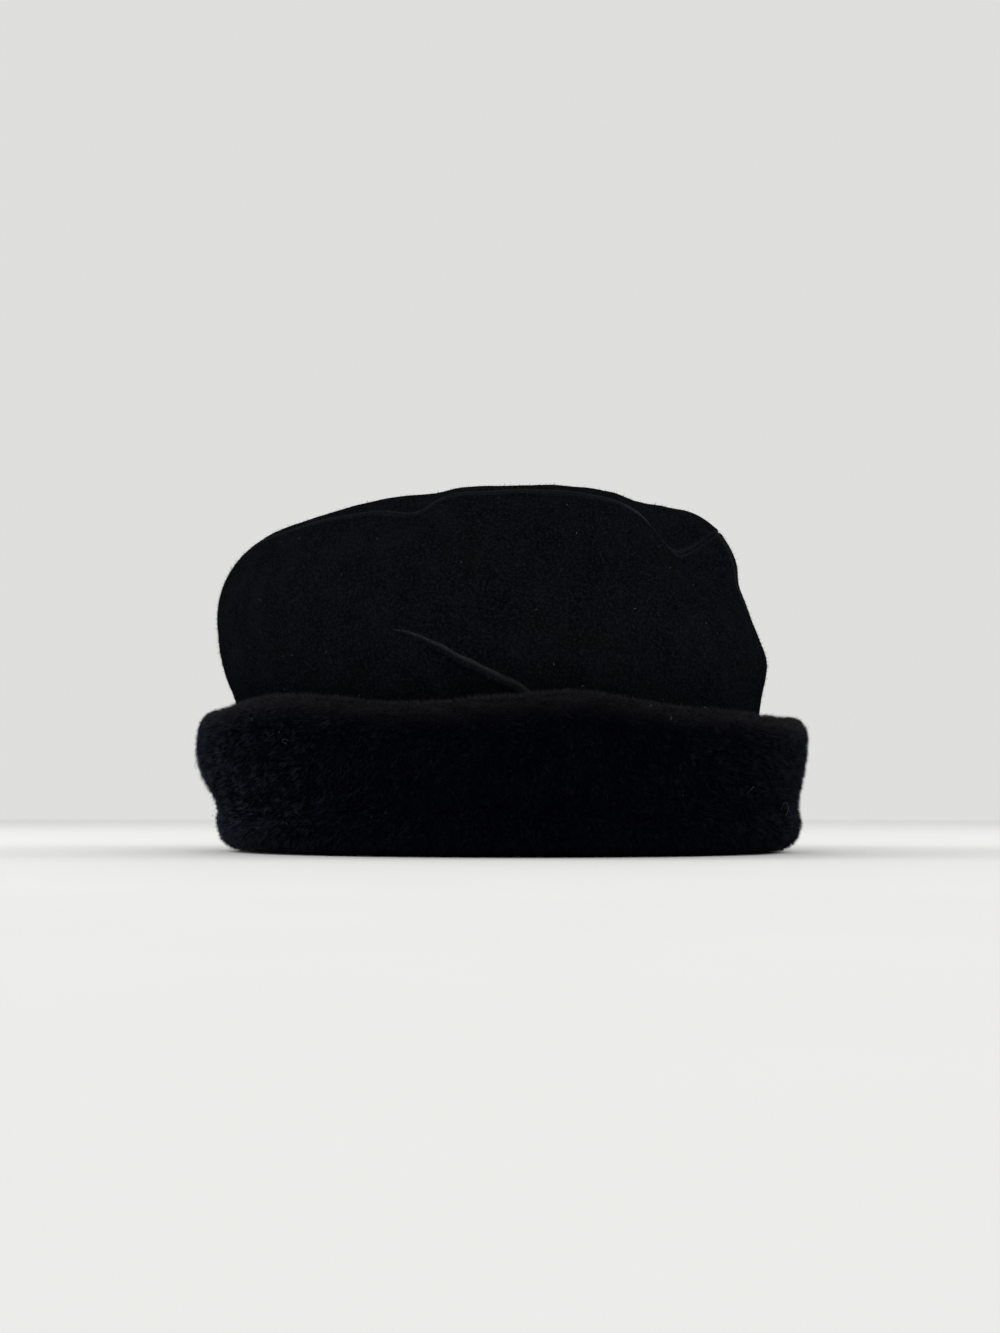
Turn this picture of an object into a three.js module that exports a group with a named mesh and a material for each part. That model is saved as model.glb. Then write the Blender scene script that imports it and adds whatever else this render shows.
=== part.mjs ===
// Shearling bucket hat: a crown of an oval tip and two side panels, each of suede with its sheared wool
// inside, and a deep brim that folds up outside the crown and shows its wool.
// Millimetres, +Z up. The front faces -Y and the wearer's right is -X. The hat rests on the fold of its brim
// at z = 0.

import * as THREE from "three";

// Driving dimensions
const HEAD = { front: 100, side: 81, back: 95.5 }; // half sizes of the hollow at the fold, about 56 cm round
const LEATHER = 2; // suede skin
const LINING_WOOL = 8; // sheared wool inside the crown, pressed by the head
const BRIM_WOOL = 11; // sheared wool of the brim, standing free
const GAP = 0.35; // between neighbouring pieces
const FOLD_OUT = 32; // from the hollow to the outside of the fold
const BRIM_HEIGHT = 61; // from the table to the free edge
const LINING_FROM = 24; // height where the brim's wool ends inside the hat and the lining starts
const LEDGE = 10; // top of the wool under the crown's lower edge
const SKIN = FOLD_OUT - BRIM_WOOL; // from the hollow to the back of the standing wool
const SKIN_TOP = BRIM_HEIGHT * 0.955; // top of the brim's suede

// The suede's outer face, from its lower edge inside the fold to the middle of the tip: half sizes and
// heights at the front, the sides and the back. The wool inside starts at the row with lining: true, and the
// tip meets the side panels at the row with seam: true.
const CROWN_SECTIONS = [
  { front: 110.0, frontZ: 10.4, side: 91.0, sideZ: 10.4, back: 105.5, backZ: 10.4 },
  { front: 112.0, frontZ: 24.0, side: 93.0, sideZ: 24.0, back: 108.0, backZ: 24.0, lining: true },
  { front: 116.5, frontZ: 47.0, side: 98.5, sideZ: 47.0, back: 112.5, backZ: 46.0 },
  { front: 119.0, frontZ: 65.0, side: 103.5, sideZ: 65.0, back: 118.0, backZ: 62.0 },
  { front: 122.5, frontZ: 83.0, side: 106.0, sideZ: 84.0, back: 125.5, backZ: 79.0 },
  { front: 117.0, frontZ: 101.0, side: 105.0, sideZ: 103.0, back: 130.5, backZ: 96.0 },
  { front: 112.0, frontZ: 117.0, side: 100.5, sideZ: 120.0, back: 132.0, backZ: 110.5 },
  { front: 110.5, frontZ: 131.5, side: 93.5, sideZ: 135.5, back: 129.5, backZ: 122.0 },
  { front: 104.0, frontZ: 145.0, side: 84.0, sideZ: 147.0, back: 123.5, backZ: 131.5, seam: true },
  { front: 91.5, frontZ: 153.0, side: 72.5, sideZ: 152.0, back: 113.0, backZ: 139.0 },
  { front: 69.0, frontZ: 155.0, side: 55.0, sideZ: 153.5, back: 90.0, backZ: 146.0 },
  { front: 38.0, frontZ: 154.5, side: 30.0, sideZ: 154.5, back: 51.0, backZ: 152.0 },
  { front: 0.0, frontZ: 154.5, side: 0.0, sideZ: 154.5, back: 0.0, backZ: 154.5 },
];
const LINED = CROWN_SECTIONS.findIndex((row) => row.lining);
const SEAM = CROWN_SECTIONS.findIndex((row) => row.seam);
const SEAM_ROW = CROWN_SECTIONS[SEAM];
const MIDDLE = CROWN_SECTIONS.length - 1;

// Dimples that run down from the tip seam. Azimuths are from the front towards the wearer's right.
const DIMPLES = [
  { azimuth: 21, spread: 18, inward: 9, down: 17.5, reach: 52 },
  { azimuth: 80, spread: 14, inward: 1, down: 0.8, reach: 60 },
  { azimuth: 96, spread: 6, inward: 5, down: 5, reach: 30 },
  { azimuth: 108, spread: 12, inward: 4, down: 4, reach: 50 },
  { azimuth: 128, spread: 14, inward: 2.5, down: 1.5, reach: 50 },
  { azimuth: 236, spread: 13, inward: 7, down: 4, reach: 40 },
  { azimuth: 318, spread: 12, inward: 8, down: 5, reach: 46 },
];

// The fold of suede across the right side panel: it stands out below a tucked line that sinks towards the
// brim.
const CREASE = { from: 94.5, fromZ: 89, to: 72, toZ: 65, out: 2.2, tuck: 1.2, width: 6 };

// The wool face of the brim's section, from the free edge down, round the fold and up into the hollow: the
// distance outside the hollow, the share of the lean below, and the height as a share of BRIM_HEIGHT.
const BRIM_FACE = [
  { out: FOLD_OUT - 12.0, flare: 0.92, z: 0.98 },
  { out: FOLD_OUT - 8.5, flare: 0.95, z: 1.0 },
  { out: FOLD_OUT - 5.2, flare: 0.98, z: 0.998 },
  { out: FOLD_OUT - 2.2, flare: 1.0, z: 0.96 },
  { out: FOLD_OUT - 0.1, flare: 1.0, z: 0.88 },
  { out: FOLD_OUT + 0.5, flare: 0.86, z: 0.74 },
  { out: FOLD_OUT + 0.1, flare: 0.5, z: 0.55 },
  { out: FOLD_OUT - 1.0, flare: 0.1, z: 0.34 },
  { out: FOLD_OUT, flare: 0.0, z: 0.2 },
  { out: FOLD_OUT - 2.8, flare: 0.0, z: 0.07 },
  { out: FOLD_OUT - 9.5, flare: 0.0, z: 0.0 },
  { out: FOLD_OUT - 18.0, flare: 0.0, z: 0.0 },
  { out: FOLD_OUT - 26.5, flare: 0.0, z: 0.06 },
  { out: FOLD_OUT - 31.0, flare: 0.0, z: 0.2 },
];
const FLARE = { front: 2.5, side: 10.5, back: 8.5 }; // lean of the standing wool
const ROLL = { front: 5, side: 0, back: 1 }; // where the fold is thicker

// Soft waves of the free edge: outward lean and height
const BRIM_WAVES = [
  { azimuth: 15, spread: 24, out: 1.5, up: -4 },
  { azimuth: 45, spread: 10, out: 0, up: -1.5 },
  { azimuth: 63, spread: 12, out: -1.5, up: 3 },
  { azimuth: 91, spread: 9, out: 0, up: -1.5 },
  { azimuth: 117, spread: 16, out: 1.0, up: 4 },
  { azimuth: 165, spread: 18, out: -1.0, up: 2.0 },
  { azimuth: 228, spread: 20, out: 1.0, up: 1.0 },
  { azimuth: 292, spread: 22, out: -1.0, up: -1.5 },
];

// Where the standing wool bulges half way up
const BELLY = { azimuth: 158, spread: 16, z: 36, reach: 14, out: 3.5 };

// Steps of the facets. The wearer's right side, with the crease, is finer.
const FINE_STEP = 5;
const COARSE_STEP = 10;
const FINE_FROM = 15;
const FINE_TO = 165;
const SIDE_STEPS = 14;
const TIP_STEPS = 5;

const radians = THREE.MathUtils.degToRad;
const smooth = (t) => THREE.MathUtils.smoothstep(t, 0, 1);

// A bell over azimuth: 1 at its centre, falling to about a third at one spread
function bell(azimuth, centre, spread) {
  const away = (((azimuth - centre + 540) % 360) - 180) / spread;
  return Math.exp(-away * away);
}

// A value given at the front, the sides and the back, at any azimuth
function around(azimuth, front, side, back) {
  const along = Math.cos(radians(azimuth)) ** 2;
  const end = Math.cos(radians(azimuth)) > 0 ? front : back;
  return side * (1 - along) + end * along;
}

// A point of an oval given by its half sizes
function oval(azimuth, front, side, back) {
  const c = Math.cos(radians(azimuth));
  const s = Math.sin(radians(azimuth));
  return new THREE.Vector2(-side * s, -(c > 0 ? front : back) * c);
}

// One column of the crown's table at a place between its rows
function crownColumn(name, place) {
  const i = Math.min(Math.floor(place), MIDDLE - 1);
  const t = place - i;
  const at = (k) => CROWN_SECTIONS[THREE.MathUtils.clamp(k, 0, MIDDLE)][name];
  const [a, b, c, d] = [at(i - 1), at(i), at(i + 1), at(i + 2)];
  const square = 2 * a - 5 * b + 4 * c - d;
  const cube = 3 * b - a - 3 * c + d;
  return 0.5 * (2 * b + (c - a) * t + square * t * t + cube * t * t * t);
}

// How far the crease moves the side panel outwards, below and above its line
function creaseOut(azimuth, z) {
  const share = (azimuth - CREASE.from) / (CREASE.to - CREASE.from);
  const ends = smooth(share * 4) * smooth((1.35 - share) * 3);
  const below = (CREASE.fromZ + (CREASE.toZ - CREASE.fromZ) * share - z) / CREASE.width;
  if (below > 0) return ends * CREASE.out * Math.exp(-((below - 0.5) ** 2) * 2);
  return -ends * CREASE.tuck * Math.exp(-((below + 0.5) ** 2) * 2);
}

// The suede's outer face, with its dimples and crease
function crownFace(azimuth, place) {
  const column = (name) => crownColumn(name, place);
  const flat = oval(azimuth, column("front"), column("side"), column("back"));
  let z = around(azimuth, column("frontZ"), column("sideZ"), column("backZ"));
  const seamZ = around(azimuth, SEAM_ROW.frontZ, SEAM_ROW.sideZ, SEAM_ROW.backZ);
  const tipFade = smooth((SEAM + 2.05 - place) / 2);
  let inward = place > SEAM ? 0 : -creaseOut(azimuth, z);
  let down = 0;
  for (const d of DIMPLES) {
    const depth = bell(azimuth, d.azimuth, d.spread) * smooth(1 - (seamZ - z) / d.reach) * tipFade;
    inward += d.inward * depth;
    down += d.down * depth;
  }
  const reach = flat.length();
  if (reach > 1e-6) flat.multiplyScalar((reach - inward) / reach);
  z -= down;
  return new THREE.Vector3(flat.x, flat.y, z);
}

// The crown's face moved inwards by a depth, square to it
function crownInside(azimuth, place, depth) {
  const here = crownFace(azimuth, place);
  if (depth === 0) return here;
  if (place > MIDDLE - 1e-6) return here.setZ(here.z - depth);
  const step = 0.02;
  const along = crownFace(azimuth + 1, place).sub(crownFace(azimuth - 1, place));
  const below = crownFace(azimuth, Math.max(place - step, 0));
  const up = crownFace(azimuth, Math.min(place + step, MIDDLE)).sub(below);
  return here.addScaledVector(along.cross(up).normalize(), depth);
}

// A point of the brim, from its distance outside the hollow, its share of the flare and its height
function brimPoint(azimuth, out, flare, z) {
  let lean = around(azimuth, FLARE.front, FLARE.side, FLARE.back);
  let lift = 0;
  for (const w of BRIM_WAVES) {
    lean += w.out * bell(azimuth, w.azimuth, w.spread);
    lift += w.up * bell(azimuth, w.azimuth, w.spread);
  }
  const middle = Math.exp(-(((z - BELLY.z) / BELLY.reach) ** 2));
  const belly = BELLY.out * bell(azimuth, BELLY.azimuth, BELLY.spread) * middle;
  const thicker = around(azimuth, ROLL.front, ROLL.side, ROLL.back) + belly;
  const distance = out + thicker * smooth((out - LINING_WOOL) / 10) + flare * lean;
  const flat = oval(azimuth, HEAD.front + distance, HEAD.side + distance, HEAD.back + distance);
  const height = z + lift * smooth((z - LINING_FROM) / (BRIM_HEIGHT - LINING_FROM));
  return new THREE.Vector3(flat.x, flat.y, height);
}

// Numbers from one to another in equal steps
function spread(from, to, steps) {
  return Array.from({ length: steps + 1 }, (_, i) => from + ((to - from) * i) / steps);
}

// Azimuths round the hat, finer on the right side
function azimuths() {
  const list = [];
  let azimuth = 0;
  while (azimuth < 360 - 1e-6) {
    list.push(azimuth);
    azimuth += azimuth >= FINE_FROM && azimuth < FINE_TO ? FINE_STEP : COARSE_STEP;
  }
  return list;
}

// Joins rings of points into a closed surface. Rings that run round a section are closed by the first ring,
// or capped where the piece ends. Rings that run round the hat end at a point. Quads of a wall's two faces are
// cut along the same diagonals, and all of them along the others where crossed is true, so that neighbouring
// pieces stay parallel.
function loft(rings, { closed = false, capped = false, crossed = false } = {}) {
  const n = rings[0].length;
  const index = [];
  for (let i = 0; i < (closed ? rings.length : rings.length - 1); i++) {
    const next = (i + 1) % rings.length;
    for (let j = 0; j < n; j++) {
      const k = (j + 1) % n;
      const turned = crossed || (capped ? j >= n / 2 : !closed && i >= rings.length / 2);
      const [a, b, c, d] = [i * n + j, i * n + k, next * n + k, next * n + j];
      if (rings[i][j].distanceTo(rings[i][k]) > 1e-6) index.push(a, b, turned ? d : c);
      if (rings[next][j].distanceTo(rings[next][k]) > 1e-6) index.push(turned ? b : a, c, d);
    }
  }
  if (capped) {
    const end = (rings.length - 1) * n;
    for (let j = 0; j < n / 2 - 1; j++) {
      const [a, b, c, d] = [j, j + 1, n - 2 - j, n - 1 - j];
      index.push(a, c, b, a, d, c);
      index.push(end + a, end + b, end + c, end + a, end + c, end + d);
    }
  }
  const geometry = new THREE.BufferGeometry().setFromPoints(rings.flat());
  geometry.setIndex(index);
  geometry.computeVertexNormals();
  return geometry;
}

// Places of the rings of the side panels and of the tip, for the suede and the wool alike
const SEAM_GAP = 0.03; // each side of the tip seam, in rows of the table
const CENTRE_GAP = 0.11; // each side of the front and back seams, in degrees
const SIDE_PLACES = spread(SEAM - SEAM_GAP, 0, SIDE_STEPS).reverse();
const WOOL_PLACES = [LINED, ...SIDE_PLACES.filter((place) => place > LINED + 0.1)];
const TIP_PLACES = spread(SEAM + SEAM_GAP, MIDDLE, TIP_STEPS);

// Depths of the two faces of the suede and of its wool, from the crown's outer face
const SUEDE_FACES = [0, LEATHER];
const WOOL_FACES = [LEATHER + GAP, LEATHER + GAP + LINING_WOOL];

// One side panel's suede or wool, between the front and back seams
function sidePanel(from, to, places, [outer, inner]) {
  const between = azimuths().filter((a) => a > from + 1 && a < to - 1);
  const rings = [from + CENTRE_GAP, ...between, to - CENTRE_GAP].map((a) => [
    ...places.map((p) => crownInside(a, p, outer)),
    ...places.toReversed().map((p) => crownInside(a, p, inner)),
  ]);
  return loft(rings, { capped: true });
}

// The oval tip's suede or wool, from its edge to its middle on both faces
function tip([outer, inner]) {
  const ring = (p, depth) => azimuths().map((a) => crownInside(a, p, depth));
  const over = TIP_PLACES.toReversed().map((p) => ring(p, outer));
  const under = TIP_PLACES.map((p) => ring(p, inner));
  return loft([...over, ...under]);
}

// The brim's wool: a deep fold, its outer leg standing to the free edge, its inner leg ending below the
// lining
function brimWool() {
  const inside = [
    { out: 0.4, flare: 0, z: LINING_FROM - GAP },
    { out: LINING_WOOL - GAP, flare: 0, z: LINING_FROM - GAP },
    { out: LINING_WOOL - GAP, flare: 0, z: LEDGE },
    { out: SKIN - 3, flare: 0, z: LEDGE },
    { out: SKIN, flare: 0.05, z: LEDGE + 5 },
    { out: SKIN - 0.5, flare: 0.15, z: BRIM_HEIGHT * 0.4 },
    { out: SKIN - 0.5, flare: 0.7, z: BRIM_HEIGHT * 0.67 },
    { out: SKIN - 0.2, flare: 0.92, z: SKIN_TOP },
  ];
  const section = [...BRIM_FACE.map((p) => ({ ...p, z: p.z * BRIM_HEIGHT })), ...inside].reverse();
  const rings = azimuths().map((a) => section.map((p) => brimPoint(a, p.out, p.flare, p.z)));
  return loft(rings, { closed: true });
}

// The brim's suede: it lines the gutter between the crown and the standing wool
function brimSuede() {
  const foot = LINING_WOOL + LEATHER + 2 * GAP; // beside the crown, which widens upwards
  const outside = SKIN - GAP;
  const inside = outside - LEATHER;
  const face = [
    { out: foot, flare: 0, z: LEDGE + GAP },
    { out: outside - 3.2, flare: 0, z: LEDGE + GAP },
    { out: outside - 0.2, flare: 0.05, z: LEDGE + 5.2 },
    { out: outside - 0.7, flare: 0.15, z: BRIM_HEIGHT * 0.4 },
    { out: outside - 0.7, flare: 0.7, z: BRIM_HEIGHT * 0.67 },
    { out: outside - 0.4, flare: 0.92, z: SKIN_TOP },
    { out: inside - 0.4, flare: 0.92, z: SKIN_TOP },
    { out: inside - 0.7, flare: 0.7, z: BRIM_HEIGHT * 0.67 },
    { out: inside - 0.7, flare: 0.15, z: BRIM_HEIGHT * 0.4 },
    { out: inside - 0.2, flare: 0.05, z: LEDGE + 6.2 },
    { out: inside - 2.2, flare: 0, z: LEDGE + GAP + LEATHER },
    { out: foot, flare: 0, z: LEDGE + GAP + LEATHER },
  ];
  const rings = azimuths().map((a) => face.map((p) => brimPoint(a, p.out, p.flare, p.z)));
  return loft(rings, { closed: true, crossed: true });
}

const SUEDE = { color: 0x0c0d10, roughness: 0.95, metalness: 0 };
const WOOL = { color: 0x07070a, roughness: 1, metalness: 0 };

function piece(name, geometry, look) {
  const mesh = new THREE.Mesh(geometry, new THREE.MeshStandardMaterial(look));
  mesh.name = name;
  return mesh;
}

const hat = new THREE.Group();
hat.add(
  piece("crown_tip", tip(SUEDE_FACES), SUEDE),
  piece("crown_side_right", sidePanel(0, 180, SIDE_PLACES, SUEDE_FACES), SUEDE),
  piece("crown_side_left", sidePanel(180, 360, SIDE_PLACES, SUEDE_FACES), SUEDE),
  piece("crown_tip_wool", tip(WOOL_FACES), WOOL),
  piece("crown_side_right_wool", sidePanel(0, 180, WOOL_PLACES, WOOL_FACES), WOOL),
  piece("crown_side_left_wool", sidePanel(180, 360, WOOL_PLACES, WOOL_FACES), WOOL),
  piece("brim_wool", brimWool(), WOOL),
  piece("brim_suede", brimSuede(), SUEDE),
);

// The origin is on the table, under the middle of the hat's box
const middle = new THREE.Box3().setFromObject(hat).getCenter(new THREE.Vector3());
hat.position.set(-middle.x, -middle.y, 0);

export default hat;
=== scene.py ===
"""Dresses the shearling hat.

Suede panels with sewn seams, stitches, sheared wool, a pale floor, soft light and the camera.
"""

import math

import bpy
import numpy as np
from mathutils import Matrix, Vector


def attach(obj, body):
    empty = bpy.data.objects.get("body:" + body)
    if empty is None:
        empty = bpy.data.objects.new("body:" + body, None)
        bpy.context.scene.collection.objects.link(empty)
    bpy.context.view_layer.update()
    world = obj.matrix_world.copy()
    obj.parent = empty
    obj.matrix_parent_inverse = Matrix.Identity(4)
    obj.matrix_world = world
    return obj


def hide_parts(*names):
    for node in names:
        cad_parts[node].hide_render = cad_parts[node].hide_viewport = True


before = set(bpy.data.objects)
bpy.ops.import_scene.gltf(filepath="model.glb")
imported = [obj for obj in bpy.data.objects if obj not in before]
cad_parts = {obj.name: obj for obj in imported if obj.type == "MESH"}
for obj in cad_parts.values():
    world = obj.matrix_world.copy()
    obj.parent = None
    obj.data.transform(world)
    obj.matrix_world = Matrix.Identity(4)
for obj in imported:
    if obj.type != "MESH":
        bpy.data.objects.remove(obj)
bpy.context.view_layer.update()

MM = 0.001
ORIGIN = np.array([0.36, 2.19, 0.0])  # from the frame's origin to the middle of the hollow, in mm

# The crown's outer face: half sizes and heights at the front, the sides and the back, in mm
CROWN = {
    "front": [110, 112, 116.5, 119, 122.5, 117, 112, 110.5, 104, 91.5, 69, 38, 0],
    "frontZ": [10.4, 24, 47, 65, 83, 101, 117, 131.5, 145, 153, 155, 154.5, 154.5],
    "side": [91, 93, 98.5, 103.5, 106, 105, 100.5, 93.5, 84, 72.5, 55, 30, 0],
    "sideZ": [10.4, 24, 47, 65, 84, 103, 120, 135.5, 147, 152, 153.5, 154.5, 154.5],
    "back": [105.5, 108, 112.5, 118, 125.5, 130.5, 132, 129.5, 123.5, 113, 90, 51, 0],
    "backZ": [10.4, 24, 46, 62, 79, 96, 110.5, 122, 131.5, 139, 146, 152, 154.5],
}
LINED, SEAM, MIDDLE = 1, 8, 12  # rows where the wool starts, where the tip is sewn on, and the tip's middle
ROW = 12.5  # mm between rows beside the tip seam
# Dimples: azimuth from the front towards the wearer's right, spread, inward, down, reach
DIMPLES = [
    (21, 18, 9, 17.5, 52),
    (80, 14, 1, 0.8, 60),
    (96, 6, 5, 5, 30),
    (108, 12, 4, 4, 50),
    (128, 14, 2.5, 1.5, 50),
    (236, 13, 7, 4, 40),
    (318, 12, 8, 5, 46),
]
# The crease across the right side: its line, and the roll of skin below it
CREASE = {"from": 94.5, "from_z": 89, "to": 72, "to_z": 65, "out": 2.2, "tuck": 1.2, "width": 6}
LEATHER = 2.0  # suede skin
LINING = 8.0  # sheared wool inside the crown
GAP = 0.35  # between neighbouring pieces

# The brim, in mm
HEAD = {"front": 100, "side": 81, "back": 95.5}  # half sizes of the hollow at the fold
FOLD_OUT = 32  # from the hollow to the outside of the fold
BRIM_WOOL = 11  # sheared wool of the brim
BRIM_HEIGHT = 61  # from the table to the free edge
LINING_FROM = 24  # height where the brim's wool ends inside the hat
LEDGE = 10  # top of the wool under the crown's lower edge
SKIN = FOLD_OUT - BRIM_WOOL  # from the hollow to the back of the standing wool
SKIN_TOP = BRIM_HEIGHT * 0.955  # top of the brim's suede
# Its wool face, from the free edge down, round the fold and up into the hollow
BRIM_FACE = {
    "out": [20, 23.5, 26.8, 29.8, 31.9, 32.5, 32.1, 31, 32, 29.2, 22.5, 14, 5.5, 1, 0.4],
    "flare": [0.92, 0.95, 0.98, 1, 1, 0.86, 0.5, 0.1, 0, 0, 0, 0, 0, 0, 0],
    "z": [59.8, 61, 60.9, 58.6, 53.7, 45.1, 33.6, 20.7, 12.2, 4.3, 0, 0, 3.7, 12.2, 23.6],
}
UNDER, HIDDEN = 10.5, 14.0  # rows of the brim's face under the fold, and where the lining begins
FLARE = {"front": 2.5, "side": 10.5, "back": 8.5}  # lean of the standing wool
ROLL = {"front": 5, "side": 0, "back": 1}  # where the fold is thicker
# Waves of the free edge: azimuth, spread, outward, up
WAVES = [
    (15, 24, 1.5, -4),
    (45, 10, 0, -1.5),
    (63, 12, -1.5, 3),
    (91, 9, 0, -1.5),
    (117, 16, 1, 4),
    (165, 18, -1, 2),
    (228, 20, 1, 1),
    (292, 22, -1, -1.5),
]
BELLY = {"azimuth": 158, "spread": 16, "z": 36, "reach": 14, "out": 3.5}  # where the standing wool bulges

# Sewing, in mm
STITCH_ROW = 3.3  # from a seam to its row of stitches
STITCH = {"pitch": 3.1, "length": 2.1, "thick": 0.16}
EDGE = [0.0, 0.3, 0.6, 1.0, 1.5, 2.2, 2.8, 3.3, 3.8, 4.6, 6.0, 8.0]  # fine steps of the mesh beside a seam
FINE = EDGE[-1]  # how far the fine steps reach
SIDE_DEPTH, TIP_DEPTH = 128.0, 100.0  # from the tip seam down the side, and in to the tip's middle, about
DEGREE = 2.0  # one degree round the crown, about
ROUND = np.arange(5) * np.pi * 0.4  # angles round a thread

# Fibres, in mm
PILE = 4.2  # visible length of the sheared wool
PRESSED = 3.4  # the same inside the crown
LOCK = 1.35  # width of a lock of wool
STRAY = 0.42  # how far the middle of a lock may lie from the middle of its cell, in cells
MEAN_RADIUS = 105  # of the wool's faces
THIRDS = (0, 2.0944, 4.18879)  # angles of a fibre's three corners
BODY_SHORT = 2.2  # from the wool's body inside the crown to the face of its pile, about

# Where the wool looks different: azimuth and spread, in degrees
TOUSLED = (148, 30)  # low at the back end, with gaps between the locks
PAINTED_LIGHT_BACK = (150, 38)  # paler tips: painted light where the back end faces the key light
# paler tips at the front end: painted light
PAINTED_LIGHT_FRONT = (5, 25)
FRONT_GREY = (2, 20)  # the front end a little paler, in the grey of the free edge's painted highlight, all the way down
# The tip seam at the front dimple: azimuth and spread, in degrees
SEAM_LIT = (36, 9)  # its edge is paler on the near side
SEAM_BRIGHT = (31, 9)  # and so is a strip beside it
SEAM_FAINT = (5, 12)  # it hardly shows on the far side


# Shapes in mm


def smooth(t):
    """From 0 to 1 with soft ends."""
    t = np.clip(t, 0, 1)
    return t * t * (3 - 2 * t)


def bell(azimuth, centre, spread):
    """1 at its centre, falling to about a third at one spread, the short way round the hat."""
    away = ((azimuth - centre + 540) % 360 - 180) / spread
    return np.exp(-away * away)


def hump(distance, middle, width):
    """The same over a distance, 1 at its middle."""
    return np.exp(-(((distance - middle) / width) ** 2))


def around(azimuth, front, side, back):
    """A value given at the front, the sides and the back, at any azimuth."""
    c = np.cos(np.radians(azimuth))
    return side * (1 - c * c) + np.where(c > 0, front, back) * c * c


def oval(azimuth, front, side, back):
    """A point of an oval given by its half sizes."""
    c, s = np.cos(np.radians(azimuth)), np.sin(np.radians(azimuth))
    return np.stack([-side * s, -np.where(c > 0, front, back) * c], -1)


def between(values, place):
    """A column of a table at a place between its rows, on a Catmull-Rom curve."""
    v = np.asarray(values, float)
    last = len(v) - 1
    i = np.minimum(np.floor(place).astype(int), last - 1)
    t = place - i
    a, b, c, d = (v[np.clip(i + k, 0, last)] for k in (-1, 0, 1, 2))
    return 0.5 * (2 * b + (c - a) * t + (2 * a - 5 * b + 4 * c - d) * t**2 + (3 * b - a - 3 * c + d) * t**3)


def ripple(points, wave, seed):
    """Smooth noise of about -1 to 1 with the given wavelength, the same each run."""
    count = 28
    rng = np.random.default_rng(seed)
    way = rng.normal(size=(count, 3))
    length = np.linalg.norm(way, axis=1, keepdims=True)
    way *= (2 * np.pi / wave) * rng.uniform(0.6, 1.5, (count, 1)) / length
    phase = rng.uniform(0, 2 * np.pi, count)
    return sum(np.sin(points @ w + f) for w, f in zip(way, phase)) / math.sqrt(count)


def crease_out(azimuth, z):
    """The soft roll of skin below the crease's line, and the hollow above it."""
    share = (azimuth - CREASE["from"]) / (CREASE["to"] - CREASE["from"])
    ends = smooth(share * 4) * smooth((1.35 - share) * 3)
    below = (CREASE["from_z"] + (CREASE["to_z"] - CREASE["from_z"]) * share - z) / CREASE["width"]
    roll = CREASE["out"] * np.exp(-((below - 0.4) ** 2) * 2.5)
    hollow = CREASE["tuck"] * np.exp(-((below + 0.5) ** 2) * 2)
    side = smooth(below * 2.5 + 0.5)
    return ends * (roll * side - hollow * (1 - side))


def crown_face(azimuth, place):
    """The suede's outer face with its dimples and crease."""
    azimuth, place = np.broadcast_arrays(np.asarray(azimuth, float), np.asarray(place, float))
    flat = oval(azimuth, *(between(CROWN[n], place) for n in ("front", "side", "back")))
    z = around(azimuth, *(between(CROWN[n], place) for n in ("frontZ", "sideZ", "backZ")))
    seam_z = around(azimuth, *(CROWN[n][SEAM] for n in ("frontZ", "sideZ", "backZ")))
    tip_fade = smooth((SEAM + 2.05 - place) / 2)
    inward = np.where(place > SEAM, 0, -crease_out(azimuth, z))
    down = np.zeros_like(z)
    for centre, spread, inwards, downwards, reach in DIMPLES:
        depth = bell(azimuth, centre, spread) * smooth(1 - (seam_z - z) / reach) * tip_fade
        inward = inward + inwards * depth
        down = down + downwards * depth
    length = np.maximum(np.linalg.norm(flat, axis=-1), 1e-6)
    flat = flat * ((length - inward) / length)[..., None]
    return np.concatenate([flat, (z - down)[..., None]], -1)


def ring_of(count):
    """Azimuths in equal steps all round the hat."""
    return np.arange(count) * 360 / count


def unit(v):
    return v / np.maximum(np.linalg.norm(v, axis=-1, keepdims=True), 1e-9)


def crown_normal(azimuth, place):
    """Square to the crown's face, outwards."""
    along = crown_face(azimuth + 0.5, place) - crown_face(azimuth - 0.5, place)
    above, below = np.minimum(place + 0.02, MIDDLE), np.maximum(place - 0.02, 0)
    up = crown_face(azimuth, above) - crown_face(azimuth, below)
    normal = unit(np.cross(up, along))
    return np.where((place > MIDDLE - 0.05)[..., None], np.array([0.0, 0.0, 1.0]), normal)


def place_at(azimuth, z):
    """The place on the crown's side where it has this height."""
    places = np.linspace(LINED, SEAM, 300)
    heights = crown_face(np.full_like(places, azimuth), places)[:, 2]
    return float(np.interp(z, heights, places))


def brim_point(azimuth, out, flare, z):
    """A point of the brim, from its distance outside the hollow, its share of the lean and its height."""
    azimuth, out, flare, z = np.broadcast_arrays(*(np.asarray(v, float) for v in (azimuth, out, flare, z)))
    lean = around(azimuth, FLARE["front"], FLARE["side"], FLARE["back"])
    lift = np.zeros_like(lean)
    for centre, spread, outward, up in WAVES:
        lean = lean + outward * bell(azimuth, centre, spread)
        lift = lift + up * bell(azimuth, centre, spread)
    belly = BELLY["out"] * bell(azimuth, BELLY["azimuth"], BELLY["spread"])
    belly = belly * hump(z, BELLY["z"], BELLY["reach"])
    roll = around(azimuth, ROLL["front"], ROLL["side"], ROLL["back"]) + belly
    roll = roll * smooth((out - LINING) / 10)
    away = out + roll + flare * lean
    flat = oval(azimuth, HEAD["front"] + away, HEAD["side"] + away, HEAD["back"] + away)
    z = z + lift * smooth((z - LINING_FROM) / (BRIM_HEIGHT - LINING_FROM))
    return np.concatenate([flat, z[..., None]], -1)


def brim_face(azimuth, place):
    """The brim's wool face, from the free edge down, round the fold and up into the hollow."""
    azimuth, place = np.broadcast_arrays(np.asarray(azimuth, float), np.asarray(place, float))
    return brim_point(azimuth, *(between(BRIM_FACE[n], place) for n in ("out", "flare", "z")))


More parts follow.
